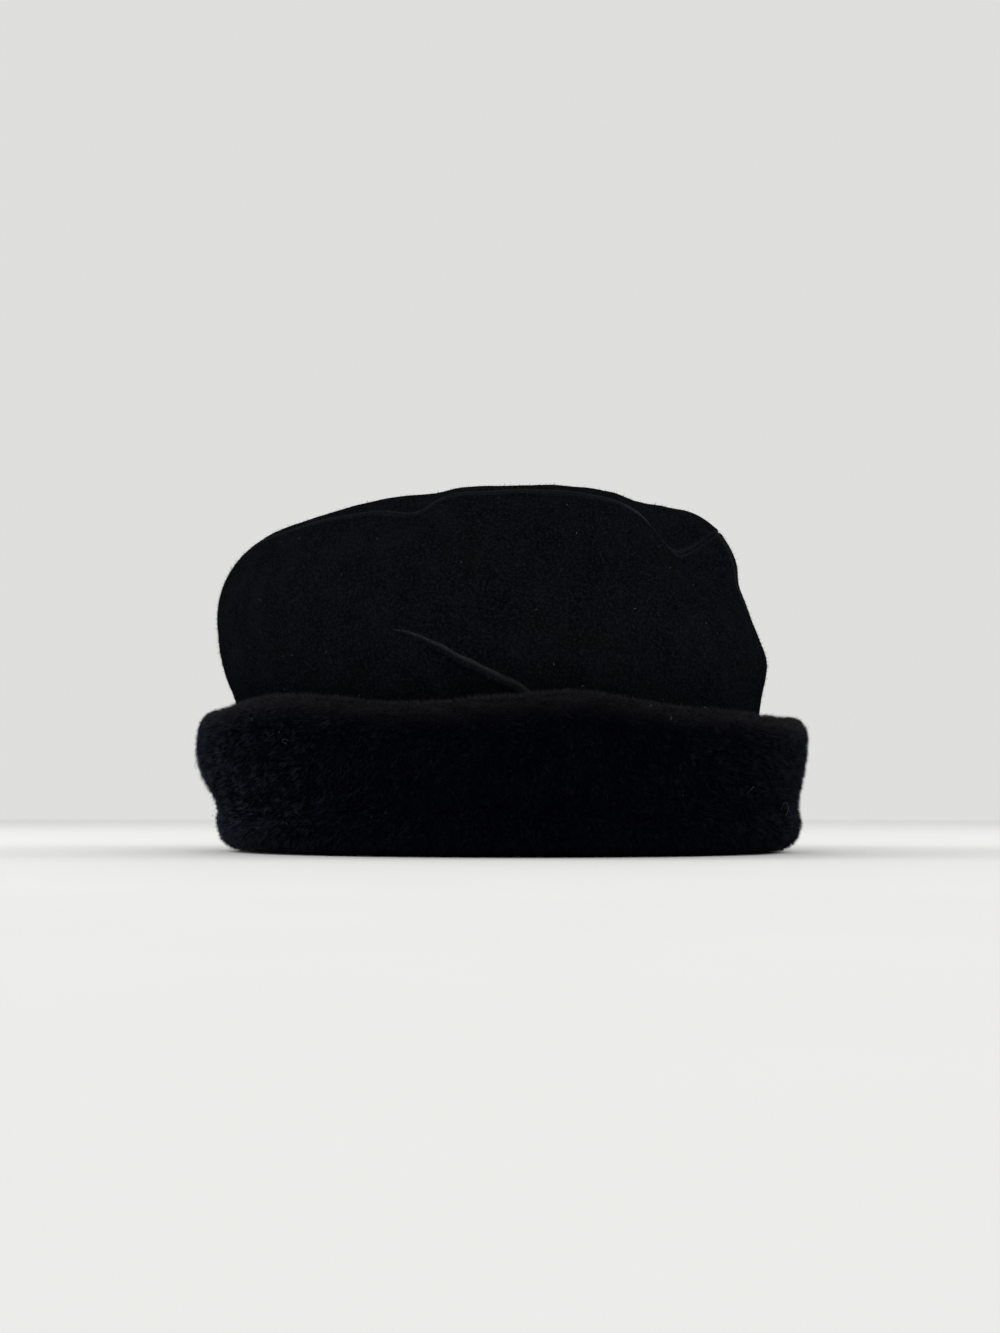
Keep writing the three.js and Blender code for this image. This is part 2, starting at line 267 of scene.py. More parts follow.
def brim_normal(azimuth, place):
    """Square to the brim's wool face, outwards."""
    last = len(BRIM_FACE["out"]) - 1
    along = brim_face(azimuth + 0.5, place) - brim_face(azimuth - 0.5, place)
    below, above = np.minimum(place + 0.04, last), np.maximum(place - 0.04, 0)
    down = brim_face(azimuth, below) - brim_face(azimuth, above)
    return unit(np.cross(along, down))


def undulate(points):
    """Soft unevenness of worn suede."""
    return 0.45 * ripple(points, 46, 3) + 0.14 * ripple(points, 17, 4) + 0.05 * ripple(points, 6, 5)


def sewn(distance):
    """How far a sewn edge sinks into its seam and along its row of stitches, beside the raised welt."""
    seam = 0.6 * hump(distance, 0, 0.5)
    welt = 0.22 * hump(distance, 1.4, 0.9)
    row = 0.2 * hump(distance, STITCH_ROW, 0.45)
    return seam - welt + row


def suede_point(azimuth, place, to_seam, to_centre):
    """The suede's outer face with its seams and its unevenness."""
    points = crown_face(azimuth, place)
    sink = sewn(to_seam) * (1 - 0.5 * bell(azimuth, *SEAM_FAINT)) + sewn(to_centre) - undulate(points)
    return points - crown_normal(azimuth, place) * sink[..., None]


# Meshes


def put(name, points, faces, material, replaces=(), attributes=None):
    """A mesh object in the row frame from points in mm and faces with as many sides each."""
    faces = np.asarray(faces, np.int32)
    sides = faces.shape[1]
    mesh = bpy.data.meshes.new(name)
    mesh.vertices.add(len(points))
    mesh.vertices.foreach_set("co", ((points + ORIGIN) * MM).astype(np.float32).ravel())
    mesh.loops.add(faces.size)
    mesh.loops.foreach_set("vertex_index", faces.ravel())
    mesh.polygons.add(len(faces))
    mesh.polygons.foreach_set("loop_start", np.arange(0, faces.size, sides, dtype=np.int32))
    mesh.polygons.foreach_set("use_smooth", np.full(len(faces), True))
    for key, values in (attributes or {}).items():
        layer = mesh.attributes.new(key, "FLOAT", "POINT")
        layer.data.foreach_set("value", values.astype(np.float32).ravel())
    mesh.update(calc_edges=True)
    mesh.validate()
    obj = bpy.data.objects.new(name, mesh)
    bpy.context.scene.collection.objects.link(obj)
    mesh.materials.append(material)
    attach(obj, "root")
    if replaces:
        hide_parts(*replaces)


def grid_faces(rows, cols, start, ring, turned=False):
    """Quads of a grid of points. A ring joins the last column to the first."""
    r, c = np.meshgrid(np.arange(rows - 1), np.arange(cols if ring else cols - 1), indexing="ij")
    a, b = r * cols + c, r * cols + (c + 1) % cols
    quads = np.stack([a, b, b + cols, a + cols], -1).reshape(-1, 4) + start
    return quads[:, ::-1] if turned else quads


def wall(outer, inner, ring):
    """Points and quads of a closed wall between two grids of points, outer first."""
    rows, cols = outer.shape[:2]
    n = rows * cols
    index = np.arange(n).reshape(rows, cols)

    def rim(edge, whole):
        a, b = (edge, np.roll(edge, -1)) if whole else (edge[:-1], edge[1:])
        return np.stack([b, a, a + n, b + n], -1)

    faces = [grid_faces(rows, cols, 0, ring), grid_faces(rows, cols, n, ring, turned=True)]
    faces += [rim(index[0], ring), rim(index[-1], ring)[:, ::-1]]
    if not ring:
        faces += [rim(index[:, 0], False)[:, ::-1], rim(index[:, -1], False)]
    return np.concatenate([outer.reshape(-1, 3), inner.reshape(-1, 3)]), np.concatenate(faces)


def steps_from(edge_steps, far, step):
    """Distances that are close together near an edge and a step apart beyond."""
    near = [s for s in edge_steps if s < far]
    count = max(2, int(round((far - near[-1]) / step)) + 1)
    return np.concatenate([near[:-1], np.linspace(near[-1], far, count)])


def rows_from_seam(distances, whole, rows):
    """Rows of the crown's table between the tip seam and each distance, of the rows in the whole distance."""
    near = FINE / ROW
    far = near + (distances - FINE) / (whole - FINE) * (rows - near)
    return np.where(distances < FINE, distances / ROW, far)


def skin(node, azimuth, place, ring, material, to_seam, to_centre):
    """One panel of the crown's suede, with its sewn edges."""
    outer = suede_point(azimuth, place, to_seam, to_centre)
    inner = crown_face(azimuth, place) - crown_normal(azimuth, place) * (LEATHER - 0.1)
    tip_seam = 0.25 + 0.55 * bell(azimuth, *SEAM_LIT) - 0.15 * bell(azimuth, *SEAM_FAINT)
    wear_and_highlight = 0.3 * hump(to_centre, 0.9, 0.6) + tip_seam * hump(to_seam, 0.9, 0.6)
    wear_and_highlight = wear_and_highlight + 0.22 * bell(azimuth, *SEAM_BRIGHT) * hump(to_seam, 1.9, 1.0)
    points, faces = wall(outer, inner, ring)
    tone = {"wear_and_highlight": np.concatenate([wear_and_highlight.ravel(), wear_and_highlight.ravel() * 0]), "height": np.zeros(len(points))}
    put("suede_" + node, points, faces, material, [node], tone)


def side_panel(node, start, end, material, step, row_step):
    """The suede of one side, between the front and back seams."""
    half = (end - start) / 2
    from_edge = steps_from(EDGE, half * DEGREE, step) / DEGREE
    azimuth = np.concatenate([start + from_edge, (end - from_edge[:-1])[::-1]])
    below = steps_from(EDGE, SIDE_DEPTH, row_step)
    rows = rows_from_seam(below, SIDE_DEPTH, SEAM)
    az, pl = np.meshgrid(azimuth, SEAM - rows)
    to_seam = rows[:, None] * ROW + az * 0
    to_centre = np.minimum(az - start, end - az) * DEGREE
    skin(node, az, pl, False, material, to_seam, to_centre)


def tip_panel(material, count, step):
    """The suede of the tip, up to a pinhole in its middle."""
    inward = steps_from(EDGE, TIP_DEPTH, step)
    rows = rows_from_seam(inward, TIP_DEPTH, MIDDLE - 0.004 - SEAM)
    az, pl = np.meshgrid(ring_of(count), (SEAM + rows)[::-1])
    far_away = np.full_like(az, 50)
    skin("crown_tip", az, pl, True, material, (pl - SEAM) * ROW, far_away)


def brim_back(material, count):
    """The brim's suede, in the gutter between the crown and the standing wool."""
    foot, outside = LINING + LEATHER + 2 * GAP, SKIN - GAP
    # distance outside the hollow, share of the lean, height
    face = [
        (foot, 0, LEDGE + GAP),
        (outside - 3.2, 0, LEDGE + GAP),
        (outside - 0.2, 0.05, LEDGE + 5.2),
        (outside - 0.7, 0.15, 24.4),
        (outside - 0.7, 0.7, 40.9),
        (outside - 0.4, 0.92, SKIN_TOP),
    ]
    out, flare, z = (np.array(c) for c in zip(*face))
    az, pl = np.meshgrid(ring_of(count), np.linspace(0, len(face) - 1, 21))
    outer = brim_point(az, between(out, pl), between(flare, pl), between(z, pl))
    wide = LEATHER * smooth(pl - 0.6)
    high = LEATHER * (1 - smooth(pl - 1.0))
    inner = brim_point(az, between(out, pl) - wide, between(flare, pl), between(z, pl) + high)
    inner = inner + 0.2 * ripple(inner, 15, 7)[..., None] * np.array([0.7, 0.7, 0.2])
    points, faces = wall(inner, outer, ring=True)
    wear_and_highlight = np.concatenate([0.6 * smooth(pl - 4.2).ravel(), np.zeros(pl.size)])
    put("suede_brim", points, faces, material, ["brim_suede"], {"wear_and_highlight": wear_and_highlight, "height": wear_and_highlight * 0})


def tube(path, up, wide, high):
    """Points and triangles of a closed bar along a path. wide and high give its section at each step."""
    steps = len(path)
    along = unit(np.gradient(path, axis=0))
    across = unit(np.cross(along, up))
    raised = np.cross(across, along)
    section = wide.shape[1]
    points = path[:, None] + across[:, None] * wide[..., None] + raised[:, None] * high[..., None]
    r, s = np.meshgrid(np.arange(steps - 1), np.arange(section), indexing="ij")
    a, b = r * section + s, r * section + (s + 1) % section
    halves = [np.stack([a, b, b + section], -1), np.stack([a, b + section, a + section], -1)]
    faces = [half.reshape(-1, 3) for half in halves]
    fan = np.arange(1, section - 1)
    last = (steps - 1) * section
    faces += [np.stack([fan * 0, fan + 1, fan], -1), np.stack([fan * 0, fan, fan + 1], -1) + last]
    return points.reshape(-1, 3), np.concatenate(faces)


def joined(parts):
    """Several lists of points and faces as one."""
    starts = np.cumsum([0] + [len(p) for p, f in parts[:-1]])
    points = np.concatenate([p for p, f in parts])
    return points, np.concatenate([f + start for (p, f), start in zip(parts, starts)])


def stitches(path, normals):
    """Short raised stitches along a path of points."""
    at = np.concatenate([[0], np.cumsum(np.linalg.norm(np.diff(path, axis=0), axis=1))])
    share = np.array([-0.5, -0.4, -0.15, 0.15, 0.4, 0.5])
    size = np.array([0.3, 0.85, 1, 1, 0.85, 0.3]) * STITCH["thick"]
    section = np.outer(size, np.cos(ROUND)), np.outer(size, np.sin(ROUND))
    rise = 0.14 - 0.4 * (2 * share) ** 4
    parts = []
    for middle in np.arange(STITCH["pitch"], at[-1] - STITCH["pitch"], STITCH["pitch"]):
        where = middle + share * STITCH["length"]
        line = np.stack([np.interp(where, at, path[:, k]) for k in range(3)], -1)
        up = unit(np.stack([np.interp(where, at, normals[:, k]) for k in range(3)], -1))
        parts.append(tube(line + up * rise[:, None], up, *section))
    return joined(parts)


def sewn_line(azimuth, place, name, material):
    """A row of stitches on the suede."""
    path = crown_face(azimuth, place)
    normals = crown_normal(azimuth, place)
    path = path - normals * (0.2 - undulate(path))[:, None]
    points, faces = stitches(path, normals)
    put(name, points, faces, material)


def pinched_fold(material):
    """The thin pinched fold of suede along the crease's line, wider towards the brim."""
    start, end = -0.02, 1.32
    share = np.linspace(start, 1.3, 130)
    azimuth = CREASE["from"] + (CREASE["to"] - CREASE["from"]) * share
    z = CREASE["from_z"] + (CREASE["to_z"] - CREASE["from_z"]) * share
    z = z + 0.5 * np.sin(share * 7) + 0.2 * np.sin(share * 19 + 1) - 1.2 * (1 - smooth(share * 9))
    place = np.array([place_at(a, h) for a, h in zip(azimuth, z)])
    normal = crown_normal(azimuth, place)
    path = crown_face(azimuth, place) + normal * undulate(crown_face(azimuth, place))[:, None]
    grown = smooth((share - start) * 4.2) * smooth((end - share) * 3.5)
    width = (0.4 + 1.2 * grown + 1.5 * grown * smooth(share * 1.2)) * (1 + 0.12 * np.sin(share * 23))
    height = (0.12 + 0.7 * grown + 0.6 * grown * smooth(share)) * (1 + 0.15 * np.sin(share * 31 + 2))
    # across the fold, from its upper foot over the lip to its lower foot, then back below the skin
    wide = np.array([-0.5, -0.42, -0.34, -0.22, -0.05, 0.2, 0.55, 0.95, 1.4, 0.9, 0.2, -0.3])
    high = np.array([-0.5, 0.1, 0.6, 0.95, 1.0, 0.82, 0.5, 0.2, -0.3, -1.0, -1.2, -1.0])
    points, faces = tube(path, normal, np.outer(width, wide), np.outer(height, high))
    # The lip is painted pale: painted highlight where the fold's upper lip catches the light.
    lip = np.outer(1.3 - 0.6 * share, np.exp(-((wide + 0.1) / 0.4) ** 2) * (high > 0)).ravel()
    put("suede_crease", points, faces, material, (), {"wear_and_highlight": lip, "height": lip * 0})
    fold_nap(path, normal, height, material)


def fold_nap(path, normal, height, material):
    """The rough nap along the lip of the pinched fold, its tips painted pale as the lip's highlight."""
    count = 700
    rng = np.random.default_rng(91)
    at = rng.uniform(0, len(path) - 1.01, count)
    step, part = at.astype(int), (at % 1)[:, None]
    root = path[step] * (1 - part) + path[step + 1] * part
    root = root + normal[step] * (height[step] * 0.7)[:, None] + rng.normal(0, 0.35, (count, 3))
    way = unit(normal[step] + rng.normal(0, 0.8, (count, 3)))
    tip = root + way * rng.uniform(0.5, 1.6, count)[:, None]
    # the nap's tips carry the lip's painted highlight
    spikes("nap_crease", root, tip, np.full(count, 0.1), material, rng, rng.random(count), 0.9)


# Fibres


def spikes(name, root, tip, thick, material, rng, shade, wear_and_highlight=0.0):
    """Thin closed spikes from roots to tips as one mesh."""
    count = len(root)
    way = unit(tip - root)
    side = unit(np.cross(way, rng.normal(size=(count, 3))))
    other = np.cross(way, side)
    ways = [side * math.cos(angle) + other * math.sin(angle) for angle in THIRDS]
    base = [root + corner * thick[:, None] for corner in ways]
    points = np.stack([*base, tip], 1).reshape(-1, 3)
    first = np.arange(count)[:, None] * 4
    faces = np.concatenate([first + t for t in ([0, 1, 3], [1, 2, 3], [2, 0, 3], [0, 2, 1])])
    tones = {"height": np.tile([0.0, 0.0, 0.0, 1.0], count), "shade": np.repeat(shade, 4)}
    # pale marks, strongest at the tips: painted highlight along the wool's free edge and on the crease's nap
    tones["wear_and_highlight"] = np.outer(np.broadcast_to(wear_and_highlight, count), [0.3, 0.3, 0.3, 1.0])
    put(name, points, faces, material, (), tones)


def scattered(face, azimuths, places, count, rng):
    """Places spread evenly over an area of a face, with the ways round it and along it."""
    trial = count * 3
    az = rng.uniform(*azimuths, trial)
    pl = rng.uniform(*places, trial)
    low, high = np.maximum(pl - 0.02, places[0]), np.minimum(pl + 0.02, places[1])
    wide = (face(az + 0.25, pl) - face(az - 0.25, pl)) / 0.5
    deep = (face(az, high) - face(az, low)) / (high - low)[:, None]
    area = np.linalg.norm(np.cross(wide, deep), axis=1)
    keep = rng.choice(trial, count, replace=False, p=area / area.sum())
    return az[keep], pl[keep], wide[keep], deep[keep]


def locks(u, v, cell, seed):
    """The way from each place in a plane to the middle of its lock, the distance, and the lock's tone."""
    columns, lines = 97, 89
    table = np.random.default_rng(seed).uniform(-STRAY, STRAY, (columns, lines, 3))
    best = np.full(u.shape, 1e9)
    du, dv, tone = np.zeros_like(u), np.zeros_like(u), np.zeros_like(u)
    cu, cv = np.floor(u / cell).astype(int), np.floor(v / cell).astype(int)
    for i in (-1, 0, 1):
        for j in (-1, 0, 1):
            jitter = table[(cu + i) % columns, (cv + j) % lines]
            x = (cu + i + 0.5 + jitter[:, 0]) * cell - u
            y = (cv + j + 0.5 + jitter[:, 1]) * cell - v
            square = x * x + y * y
            near = square < best
            best = np.where(near, square, best)
            du, dv = np.where(near, x, du), np.where(near, y, dv)
            tone = np.where(near, jitter[:, 2], tone)
    return du, dv, np.sqrt(best), tone / (2 * STRAY) + 0.5


def rim_highlight(place):
    """How much painted highlight shows along the top of the brim's free edge, where the roll faces the light.
    """
    return smooth((4.8 - place) / 1.8)


def grow(name, face, normal, azimuths, places, count, material, seed, thick, length=PILE, lean=0.3):
    """Sheared wool on a face: fine spikes that lean downwards and gather into small locks."""
    rng = np.random.default_rng(seed)
    az, pl, wide, deep = scattered(face, azimuths, places, count, rng)
    count = len(az)
    top, n = face(az, pl), normal(az, pl)
    across, along = unit(wide), unit(deep)
    u = np.radians(az) * MEAN_RADIUS + 1.2 * ripple(top, 8, seed + 1)
    v = pl * np.linalg.norm(deep, axis=1).mean() + 1.2 * ripple(top, 8, seed + 2)
    du, dv, off, tone = locks(u, v, LOCK, seed + 3)
    sway = ripple(top, 30, 61)
    swirl = ripple(top, 12, 62)
    on_brim = 1.0 if face is brim_face else 0.0
    tousled = bell(az, *TOUSLED) * smooth((pl - 4.5) / 2.5) * on_brim
    tall = length * rng.uniform(0.84, 1.06, count) * (1 - 0.1 * off) * (0.93 + 0.12 * tone)
    tall = tall * (1 - 0.5 * tousled * (1 - tone) ** 2)
    guard = rng.random(count) < 0.05
    tall = np.where(guard, tall * rng.uniform(1.1, 1.3, count), tall)
    curl = 40 * tone
    way = n + along * (lean * (1 + 0.6 * sway) + 0.3 * np.sin(curl))[:, None]
    way = way + across * (0.4 * swirl + 0.3 * np.cos(curl))[:, None]
    way = unit(way + rng.normal(0, 0.2, (count, 3)))
    root = top - n * length * 0.95 - along * (lean * 0.5 * length)
    gathered = (across * du[:, None] + along * dv[:, None]) * (0.45 + 0.45 * tousled)[:, None]
    tip = root + way * tall[:, None] * 1.05 + gathered
    low = rng.uniform(0.05, 0.5, count)
    root[:, 2] = np.maximum(root[:, 2], low + 0.5)
    tip[:, 2] = np.maximum(tip[:, 2], low)
    width = np.where(guard, 0.6, 1) * thick * rng.uniform(0.8, 1.2, count)
    # painted highlight along the top of the free edge, and a little paler grey at the front end
    rim = (rim_highlight(pl) + 0.22 * bell(az, *FRONT_GREY)) * on_brim
    wear_and_highlight = np.clip(rim, 0, 1) * rng.uniform(0, 1.2, count)
    pale = 0.35 * tone**3 + 0.3 * rng.random(count) ** 3
    # lighter at the back end and a little at the front end: painted light, on top of each lock's own tone
    pale = pale * (0.6 + 1.3 * bell(az, *PAINTED_LIGHT_BACK) + 0.5 * bell(az, *PAINTED_LIGHT_FRONT)) * (1 + 0.7 * tousled)
    spikes(name, root, tip, width, material, rng, np.clip(pale, 0, 1), wear_and_highlight)


def nap(name, azimuths, places, count, material, seed):
    """The short nap of the suede, brushed this way and that."""
    rng = np.random.default_rng(seed)
    az, pl, wide, deep = scattered(crown_face, azimuths, places, count, rng)
    count = len(az)
    top, n = crown_face(az, pl), crown_normal(az, pl)
    top = top + n * undulate(top)[:, None]
    across, along = unit(wide), unit(deep)
    brushed = np.pi * ripple(top, 40, 71) + 0.8 * ripple(top, 9, 72)
    lying = across * np.cos(brushed)[:, None] + along * np.sin(brushed)[:, None]
    way = unit(n * rng.uniform(0.25, 1.1, (count, 1)) + lying * 0.7 + rng.normal(0, 0.4, (count, 3)))
    tall = rng.gamma(4.0, 0.24, count) * (1 + 0.3 * ripple(top, 14, 73))
    root = top - n * 0.25
    tip = root + way * (0.3 + np.clip(tall, 0.2, 2.4))[:, None]
    spikes(name, root, tip, rng.uniform(0.05, 0.1, count), material, rng, rng.random(count))


# Long curled hairs: azimuth, row of the brim's face, length in mm
CURLED = [(14, 7.5, 9), (27, 6.5, 7), (150, 5.5, 6), (112, 5.2, 3), (230, 4.6, 7), (310, 5, 7)]


def hair(line, up, size):
    """One hair along a line, with its half width at each step."""
    return tube(line, np.tile(up + 0.01, (len(line), 1)), size * np.cos(ROUND), size * np.sin(ROUND))


def strays(material):
    """A few long curled hairs on the wool, and pale lint on the wool and the suede."""
    rng = np.random.default_rng(81)
    parts = []
    t = np.linspace(0, 1, 22)[:, None]
    for az, pl, length in CURLED:
        az, pl = np.array([float(az)]), np.array([float(pl)])
        n, start = brim_normal(az, pl), brim_face(az, pl)
        side = unit(np.cross(n, rng.normal(size=3)))
        turn = rng.uniform(2.5, 5.5) * t
        line = start + n * (np.sin(t * 3.0) * 1.6 - 0.3) + side * (np.sin(turn) * length * 0.3)
        line = line + np.cross(n, side) * (1 - np.cos(turn)) * length * 0.3
        parts.append(hair(line, n, 0.07 * (1.1 - 0.7 * t)))
    t = np.linspace(0, 1, 7)[:, None]
    for k in range(90):
        az = np.array([rng.uniform(0, 180) if k % 3 else rng.uniform(180, 360)])
        on_wool = rng.random() < 0.4
        pl = np.array([rng.uniform(1.0, 8.0) if on_wool else rng.uniform(3.4, 7.9)])
        n = (brim_normal if on_wool else crown_normal)(az, pl)
        start = (brim_face if on_wool else crown_face)(az, pl)
        length = rng.uniform(0.35, 1.5)
        side = unit(np.cross(n, rng.normal(size=3)))
        bend = np.cross(n, side) * rng.normal(0, 0.35) * length
        line = start + n * (0.45 + 0.3 * np.sin(t * 3)) + side * t * length + bend * t * t
        parts.append(hair(line, n, rng.uniform(0.05, 0.11) * (1.1 - t * t)))
    points, faces = joined(parts)
    put("lint", points, faces, material)


def brim_base(material, count):
    """The wool's body under its pile: a closed ring inside the brim's outer form."""
    last = len(BRIM_FACE["out"]) - 1
    az, pl = np.meshgrid(ring_of(count), np.linspace(0, last, 40))
    top = brim_face(az, pl)
    inset = PILE * 0.62 + 0.35 * ripple(top, 5, 21) + 0.25 * ripple(top, 2.6, 22)
    outer = top - brim_normal(az, pl) * inset[..., None]
    outer[..., 2] = np.maximum(outer[..., 2], 0.6)
    # The back of the wool lies on the brim's suede, and its inner leg on the crown's
    rows = {
        "out": [20.8, 20.5, 20.5, 20.8, 20.0, 18.0, 14, 10, 7.65, 7.65, 7.65],
        "flare": [0.92, 0.82, 0.4, 0.1, 0.05, 0, 0, 0, 0, 0, 0],
        "z": [SKIN_TOP, 46, 32, 20, 15, 10, 10, 10, 10, 16, LINING_FROM - GAP],
    }
    az, bk = np.meshgrid(ring_of(count), np.linspace(0, len(rows["out"]) - 1, 40))
    inner = brim_point(az, *(between(rows[k], bk) for k in ("out", "flare", "z")))
    points, faces = wall(inner, outer, ring=True)
    # the wool's body gets a little of the free edge's painted highlight too
    rim = 0.3 * rim_highlight(pl).ravel()
    tones = {"height": np.full(len(points), 0.1), "shade": np.full(len(points), 0.5)}
    tones["wear_and_highlight"] = np.concatenate([rim * 0, rim])
    put("wool_brim", points, faces, material, ["brim_wool"], tones)


def crown_wool(node, azimuth, places, material, ring):
    """The wool's body inside one panel of the crown."""
    az, pl = np.meshgrid(azimuth, places)
    n, top = crown_normal(az, pl), crown_face(az, pl)
    depth = LEATHER + GAP + LINING - BODY_SHORT + 0.35 * ripple(top, 5, 31) + 0.25 * ripple(top, 2.6, 32)
    outer, inner = top - n * (LEATHER + GAP), top - n * depth[..., None]
    if ring:
        outer, inner = outer[::-1], inner[::-1]
    points, faces = wall(outer, inner, ring)
    tones = {"height": np.full(len(points), 0.1), "shade": np.full(len(points), 0.5)}
    put("wool_" + node.replace("_wool", ""), points, faces, material, [node], tones)


def lining_face(azimuth, place):
    """The wool face inside the crown."""
    return crown_face(azimuth, place) - crown_normal(azimuth, place) * (LEATHER + GAP + LINING)


def lining_normal(azimuth, place):
    """Square to the wool face inside the crown, into the hollow."""
    return -crown_normal(azimuth, place)


# Materials

SUEDE = {
    "green_cast": (0.0021, 0.0031, 0.0034),
    "blue_cast": (0.0024, 0.0026, 0.0050),
    "mottle": (0.0049, 0.0056, 0.0074),
    "grain": (0.0132, 0.0147, 0.0174),
    # painted sheen on the nap's tips
    "nap": (0.0102, 0.0113, 0.0138),
    # pale seam edges, and painted highlight on the crease's lip
    "wear_and_highlight": (0.055, 0.056, 0.059),
}
WOOL = {
    # the two root colours: painted shade between the fibres
    "dark_root": (0.0008, 0.0010, 0.0022),
    "root": (0.0018, 0.0022, 0.0048),
    "tip": (0.0060, 0.0072, 0.0135),
    "pale_tip": (0.0560, 0.0600, 0.0840),
    # painted highlight on the top of the free edge's roll
    "rim_highlight": (0.0380, 0.0370, 0.0370),
}
THREAD = ((0.002, 0.002, 0.003), (0.006, 0.006, 0.008))
LINT = ((0.03, 0.03, 0.03), (0.13, 0.13, 0.12))
FLOOR = ((0.91, 0.91, 0.90), (0.93, 0.93, 0.92))
STUDIO = (0.735, 0.735, 0.72, 1)


class Shading:
    """A material and short ways to add nodes to it."""

    def __init__(self, name):
        self.material = bpy.data.materials.new(name)
        self.material.use_nodes = True
        self.nodes = self.material.node_tree.nodes
        self.links = self.material.node_tree.links
        self.shader = self.nodes["Principled BSDF"]
        self.place = self.nodes.new("ShaderNodeTexCoord").outputs["Object"]

    def set(self, **values):
        for key, value in values.items():
            self.shader.inputs[key.replace("_", " ")].default_value = value

    def to(self, name, socket):
        self.links.new(socket, self.shader.inputs[name])

    def noise(self, scale, detail=3.0, rough=0.6, low=0.35, high=0.68):
        n = self.nodes.new("ShaderNodeTexNoise")
        for key, value in (("Scale", scale), ("Detail", detail), ("Roughness", rough)):
            n.inputs[key].default_value = value
        self.links.new(self.place, n.inputs["Vector"])
        return self.mapped(n.outputs["Fac"], low, high)

    def attribute(self, name):
        n = self.nodes.new("ShaderNodeAttribute")
        n.attribute_name = name
        return n.outputs["Fac"]

    def mapped(self, value, low, high, to_low=0.0, to_high=1.0):
        n = self.nodes.new("ShaderNodeMapRange")
        self.links.new(value, n.inputs["Value"])
        for key, x in zip(("From Min", "From Max", "To Min", "To Max"), (low, high, to_low, to_high)):
            n.inputs[key].default_value = x
        return n.outputs["Result"]

    def blend(self, factor, low, high):
        n = self.nodes.new("ShaderNodeMix")
        n.data_type = "RGBA"
        self.links.new(factor, n.inputs["Factor"])
        for letter, value in (("A", low), ("B", high)):
            target = next(s for s in n.inputs if s.name == letter and s.type == "RGBA")
            if isinstance(value, bpy.types.NodeSocket):
                self.links.new(value, target)
            else:
                target.default_value = (*value, 1)
        return next(s for s in n.outputs if s.type == "RGBA")

    def bump(self, height, strength, distance, under=None):
        n = self.nodes.new("ShaderNodeBump")
        n.inputs["Strength"].default_value = strength
        n.inputs["Distance"].default_value = distance
        self.links.new(height, n.inputs["Height"])
        if under is not None:
            self.links.new(under, n.inputs["Normal"])
        return n.outputs["Normal"]


def suede_material():
    m = Shading("suede")
    mottle = m.noise(75, 5, 0.65)
    grain = m.noise(1000, 3, 0.7, 0.34, 0.7)
    cast = m.noise(32, 2, 0.6, 0.4, 0.6)
    dark = m.blend(cast, SUEDE["green_cast"], SUEDE["blue_cast"])
    colour = m.blend(mottle, dark, SUEDE["mottle"])
    colour = m.blend(m.mapped(grain, 0.3, 1.0, 0, 0.8), colour, SUEDE["grain"])
    # The nap is painted lighter towards its tips: painted sheen.
    tips = m.mapped(m.attribute("height"), 0.2, 1.0, 0, 0.5)
    colour = m.blend(tips, colour, SUEDE["nap"])
    # pale seam edges and the brim suede's top, and painted highlight on the crease's lip
    wear_and_highlight = m.mapped(m.attribute("wear_and_highlight"), 0.0, 1.0, 0, 0.8)
    colour = m.blend(wear_and_highlight, colour, SUEDE["wear_and_highlight"])
    m.to("Base Color", colour)
    m.to("Roughness", m.mapped(mottle, 0, 1, 0.86, 0.98))
    nap_bump = m.bump(grain, 0.7, 0.0006)
    m.to("Normal", m.bump(m.noise(300, 4), 0.5, 0.0009, nap_bump))
    m.set(Specular_IOR_Level=0.0)
    return m.material


def wool_material():
    m = Shading("wool")
    patch, fibre = m.noise(95, 4), m.noise(1500, 3, 0.7, 0.3, 0.7)
    # Dark at the fibres' roots and in the wool's body: painted shade deep between the fibres.
    colour = m.blend(patch, WOOL["dark_root"], WOOL["root"])
    tips = m.mapped(m.attribute("height"), 0.1, 0.8, 0, 1.0)
    light = m.blend(m.attribute("shade"), WOOL["tip"], WOOL["pale_tip"])
    colour = m.blend(tips, colour, light)
    # painted highlight along the brim's free edge, and the paler grey at the front end
    colour = m.blend(m.attribute("wear_and_highlight"), colour, WOOL["rim_highlight"])
    m.to("Base Color", colour)
    m.to("Roughness", m.mapped(patch, 0, 1, 0.6, 0.8))
    m.to("Normal", m.bump(fibre, 0.5, 0.0004))
    m.set(Specular_IOR_Level=0.0)
    return m.material


def thread_material():
    m = Shading("thread")
    m.to("Base Color", m.blend(m.noise(500), *THREAD))
    m.set(Roughness=0.7, Specular_IOR_Level=0.02)
    return m.material


def lint_material():
    m = Shading("lint")
    m.to("Base Color", m.blend(m.noise(120), *LINT))
    m.set(Roughness=0.8)
    return m.material


def floor_material():
    m = Shading("floor")
    m.to("Base Color", m.blend(m.noise(7), *FLOOR))
    m.set(Roughness=0.9, Specular_IOR_Level=0.1)
    return m.material


# The hat

suede, wool, thread = suede_material(), wool_material(), thread_material()
side_panel("crown_side_right", 0, 180, suede, 2.2, 2.2)
side_panel("crown_side_left", 180, 360, suede, 3.4, 3.2)
tip_panel(suede, 180, 3.4)
brim_back(suede, 160)
pinched_fold(suede)

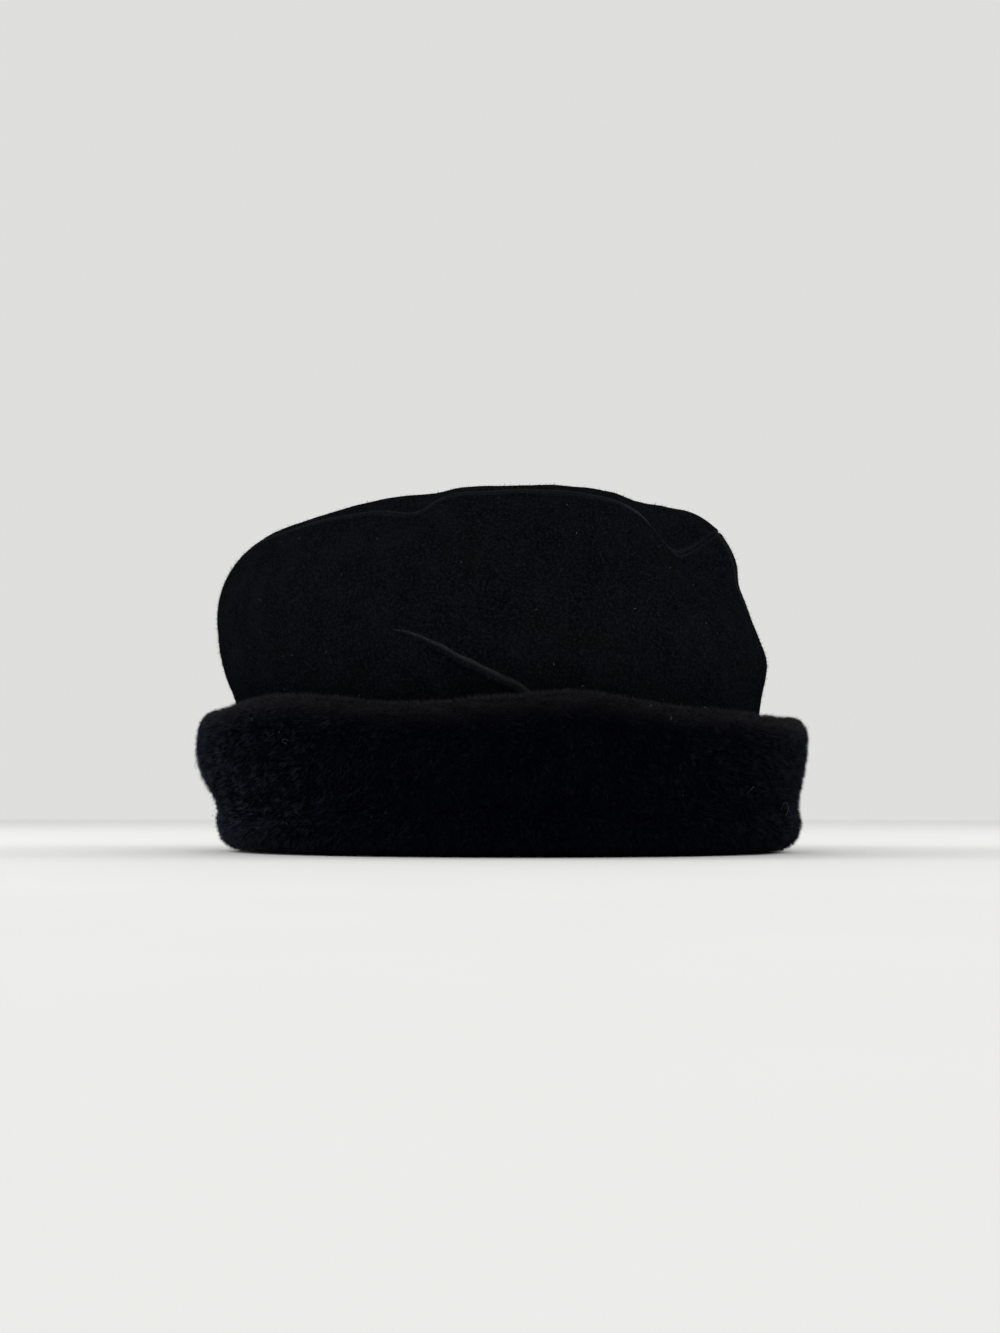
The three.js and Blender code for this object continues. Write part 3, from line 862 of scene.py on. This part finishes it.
turn_az = np.linspace(0.2, 359.8, 700)
sewn_line(turn_az, np.full_like(turn_az, SEAM - STITCH_ROW / ROW), "stitches_below_tip", thread)
sewn_line(turn_az, np.full_like(turn_az, SEAM + STITCH_ROW / ROW), "stitches_on_tip", thread)
panel_rows = np.linspace(2.2, SEAM - 0.35, 240)
for side, azimuth in (("front", 0), ("back", 180)):
    for hand, way in (("a", 1), ("b", -1)):
        beside = np.full_like(panel_rows, azimuth + way * STITCH_ROW / DEGREE)
        sewn_line(beside, panel_rows, f"stitches_{side}_{hand}", thread)

brim_base(wool, 180)
side_places = np.linspace(LINED, SEAM, 30)
tip_places = np.linspace(SEAM, MIDDLE - 0.01, 18)
crown_wool("crown_side_right_wool", np.linspace(0, 180, 64), side_places, wool, False)
crown_wool("crown_side_left_wool", np.linspace(180, 360, 64), side_places, wool, False)
crown_wool("crown_tip_wool", ring_of(120), tip_places, wool, True)

brim_side = (brim_face, brim_normal)
standing = (0.0, UNDER)
# The standing wool in quarters: name, azimuths, number of fibres, seed, half width of a fibre in mm
PILES = [
    ("pile_right_front", (-4, 88), 43000, 101, 0.17),
    ("pile_right_back", (88, 180), 43000, 102, 0.17),
    ("pile_left_back", (180, 270), 22000, 103, 0.25),
    ("pile_left_front", (270, 356), 22000, 104, 0.25),
]
for name, azimuths, count, seed, thick in PILES:
    grow(name, *brim_side, azimuths, standing, count, wool, seed, thick=thick)
grow("pile_inside", *brim_side, (0, 360), (UNDER, HIDDEN), 15000, wool, 105, thick=0.3)

lining_side = (lining_face, lining_normal)
inside = (LINED + 0.05, MIDDLE - 0.3)
mouth = (LINED, LINED + 0.25)
grow("pile_crown", *lining_side, (0, 360), inside, 7500, wool, 106, length=PRESSED, lean=0.2, thick=0.4)
grow("pile_mouth", *lining_side, (0, 360), mouth, 3500, wool, 107, length=PRESSED, lean=-0.5, thick=0.3)

nap("nap_right", (0, 180), (3.0, SEAM), 25000, suede, 111)
nap("nap_left", (180, 360), (3.0, SEAM), 9000, suede, 112)
nap("nap_tip", (0, 360), (SEAM, MIDDLE - 0.2), 6500, suede, 113)
strays(lint_material())

# Floor, light and camera
LIGHT_SIZE = 0.8
LIT = Vector((0, 0, 0.08))  # what the lights point at
CAMERA_AZIMUTH = -74  # from the wearer's right, a little to the front
CAMERA_DISTANCE = 0.64
CAMERA_HEIGHT = 0.016
CAMERA_AIM = Vector((0, 0, 0.084))
SENSOR = 36  # mm
FOCAL_PIXELS, PICTURE_HEIGHT = 1400, 1333  # in the photograph's own pixels, the first estimated

bpy.ops.mesh.primitive_plane_add(size=8)
floor = bpy.context.object
floor.name = "floor"
floor.data.materials.append(floor_material())

world = bpy.data.worlds.new("studio")
bpy.context.scene.world = world
world.use_nodes = True
world.node_tree.nodes["Background"].inputs["Color"].default_value = STUDIO
world.node_tree.nodes["Background"].inputs["Strength"].default_value = 1.0
bpy.context.scene.view_settings.view_transform = "Standard"


def soft_light(name, where, power):
    """A round soft light that points at the hat."""
    data = bpy.data.lights.new(name, "AREA")
    data.shape = "DISK"
    data.size = LIGHT_SIZE
    data.energy = power
    obj = bpy.data.objects.new(name, data)
    bpy.context.scene.collection.objects.link(obj)
    obj.location = where
    obj.rotation_euler = (LIT - Vector(where)).to_track_quat("-Z", "Y").to_euler()


soft_light("key", (-0.3, 1.2, 1.1), 6)
soft_light("rim", (0.4, -1.3, 0.9), 4.5)

data = bpy.data.cameras.new("camera")
data.lens = SENSOR * FOCAL_PIXELS / PICTURE_HEIGHT
camera = bpy.data.objects.new("camera", data)
bpy.context.scene.collection.objects.link(camera)
turn = math.radians(CAMERA_AZIMUTH)
camera.location = (math.sin(turn) * CAMERA_DISTANCE, -math.cos(turn) * CAMERA_DISTANCE, CAMERA_HEIGHT)
look = CAMERA_AIM - camera.location
camera.rotation_euler = look.to_track_quat("-Z", "Y").to_euler()
data.clip_start = 0.01
bpy.context.scene.camera = camera
